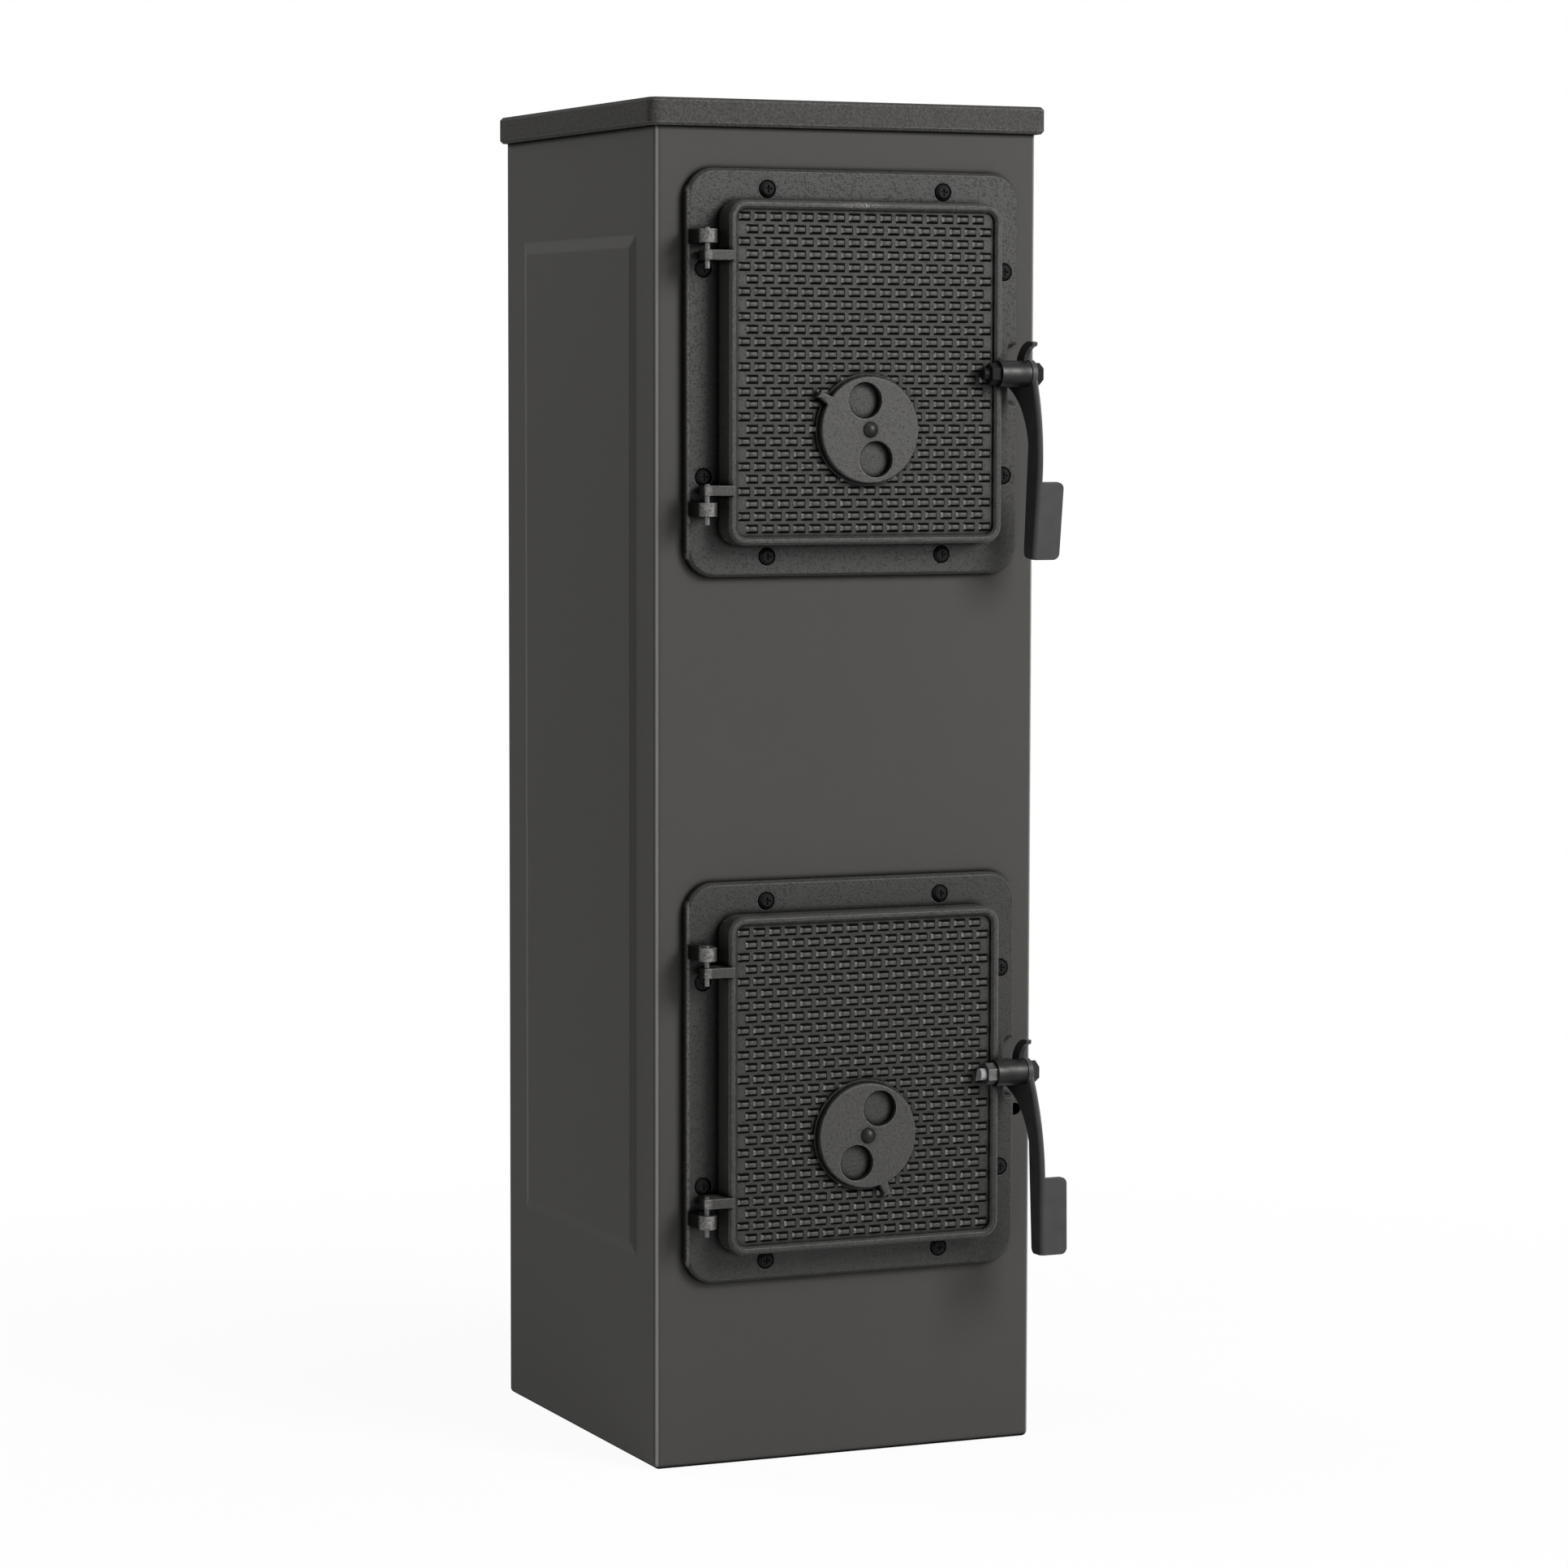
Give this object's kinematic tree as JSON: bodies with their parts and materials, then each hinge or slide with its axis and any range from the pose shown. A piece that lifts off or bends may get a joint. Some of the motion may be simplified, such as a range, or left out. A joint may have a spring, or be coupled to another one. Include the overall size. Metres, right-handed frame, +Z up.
{
  "type": "workshop stove",
  "caption": "Tall square solid-fuel stove with a folded steel casing, two hinged cast doors with turning air discs and lever latches, grate, ash pan and rear flue collar.",
  "frame": {"origin": "middle of the casing's footprint, on the floor", "axes": "+X to the viewer's right across the door side, +Y from the doors to the back, +Z up"},
  "size_m": [0.292, 0.4065, 0.9183],
  "materials": {
    "casing_paint": "satin",
    "cast_paint": "matte",
    "inner_sheet": "matte",
    "bare_cast": "matte",
    "bare_steel": "satin",
    "black_steel": "satin",
    "zinc": "satin",
    "pan_sheet": "satin",
    "rope": "matte",
    "firebrick": "matte"
  },
  "bodies": {
    "stove": {"casing": "casing_paint", "base_plate": "inner_sheet", "back_panel": "casing_paint", "lid": "cast_paint", "ash_shelf": "inner_sheet", "ash_pan": "pan_sheet", "ash_pan_handle": "pan_sheet", "grate_ledge": "inner_sheet", "grate": "bare_cast", "flue_collar": "inner_sheet", "flue_flange": "inner_sheet", "flue_collar_screws": "zinc", "firebrick_left": "firebrick", "firebrick_right": "firebrick", "firebrick_back": "firebrick", "firebrick_front": "firebrick", "front_brick_shelf": "inner_sheet", "upper_frame": "cast_paint", "upper_hinge_pins": "bare_steel", "upper_frame_screws": "black_steel", "upper_frame_nuts": "zinc", "lower_frame": "cast_paint", "lower_hinge_pins": "bare_steel", "lower_frame_screws": "black_steel", "lower_frame_nuts": "zinc"},
    "upper_door": {"upper_door": "cast_paint", "upper_door_seal": "rope", "upper_damper_rivet": "black_steel", "upper_latch_barrel": "bare_steel", "upper_latch_bolt": "black_steel", "upper_latch_nut": "black_steel"},
    "upper_damper": {"upper_damper": "cast_paint"},
    "upper_latch": {"upper_latch_lever": "black_steel"},
    "lower_door": {"lower_door": "cast_paint", "lower_door_seal": "rope", "lower_damper_rivet": "black_steel", "lower_latch_barrel": "bare_steel", "lower_latch_bolt": "black_steel", "lower_latch_nut": "zinc"},
    "lower_damper": {"lower_damper": "cast_paint"},
    "lower_latch": {"lower_latch_lever": "black_steel"}
  },
  "joints": [
    {"name": "upper_door_hinge", "type": "hinge", "parent": "stove", "child": "upper_door", "pos_m": [-0.1135, -0.166, 0.737], "axis": [0, 0, -1], "range_deg": [0, 170]},
    {"name": "upper_latch_lift", "type": "hinge", "parent": "upper_door", "child": "upper_latch", "pos_m": [0.11875, -0.175, 0.737], "axis": [-1, 0, 0], "range_deg": [0, 90]},
    {"name": "upper_damper_turn", "type": "hinge", "parent": "upper_door", "child": "upper_damper", "pos_m": [0.0015, -0.1705, 0.6995], "axis": [0, 1, 0], "continuous": true},
    {"name": "lower_door_hinge", "type": "hinge", "parent": "stove", "child": "lower_door", "pos_m": [-0.1135, -0.166, 0.2615], "axis": [0, 0, -1], "range_deg": [0, 170]},
    {"name": "lower_latch_lift", "type": "hinge", "parent": "lower_door", "child": "lower_latch", "pos_m": [0.11875, -0.175, 0.2615], "axis": [-1, 0, 0], "range_deg": [0, 81]},
    {"name": "lower_damper_turn", "type": "hinge", "parent": "lower_door", "child": "lower_damper", "pos_m": [0.0015, -0.1705, 0.224], "axis": [0, 1, 0], "continuous": true}
  ]
}
